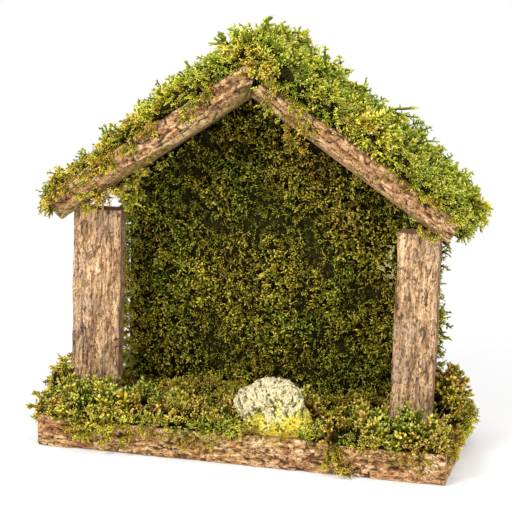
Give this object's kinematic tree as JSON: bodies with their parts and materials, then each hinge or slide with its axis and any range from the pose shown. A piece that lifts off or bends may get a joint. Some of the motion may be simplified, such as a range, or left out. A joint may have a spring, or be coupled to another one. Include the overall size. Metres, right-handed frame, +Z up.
{
  "type": "nativity stable",
  "caption": "Open-fronted wooden nativity stable with bark-faced posts and rafters, a pitched mossy roof, a moss-lined back wall and a mossy base with a stone.",
  "frame": {"origin": "middle of the base board's underside", "axes": "+Z up, +X to the stable's right as seen from the front, +Y to its back"},
  "size_m": [0.3146, 0.1368, 0.296],
  "materials": {
    "sawn_board": "rough sawn",
    "bark": "furrowed bark",
    "steel_pin": "bright drawn wire",
    "moss": "dried feather moss",
    "stone": "flocked grit"
  },
  "bodies": {
    "root": {"base_board": "sawn_board", "front_bark_strip": "bark", "rear_bark_strip": "bark", "left_bark_strip": "bark", "right_bark_strip": "bark", "strip_brads": "steel_pin", "left_post": "bark", "right_post": "bark", "post_nails": "steel_pin", "back_panel": "sawn_board", "back_panel_nails": "steel_pin", "roof_panel_left": "sawn_board", "roof_panel_right": "sawn_board", "roof_brads_left": "steel_pin", "roof_brads_right": "steel_pin", "rafter_left": "bark", "rafter_right": "bark", "rafter_brads": "steel_pin", "roof_moss_left": "moss", "roof_moss_right": "moss", "back_moss": "moss", "ground_moss_front_left": "moss", "ground_moss_front_centre": "moss", "ground_moss_front_right": "moss", "ground_moss_inner": "moss", "ground_moss_left": "moss", "ground_moss_right": "moss", "ground_moss_rear": "moss", "clump_left_post": "moss", "clump_left_rafter": "moss", "clump_left_roof": "moss", "clump_right_rafter": "moss", "clump_front_left": "moss", "clump_front_middle": "moss", "clump_front_right": "moss", "stone": "stone"}
  },
  "joints": []
}
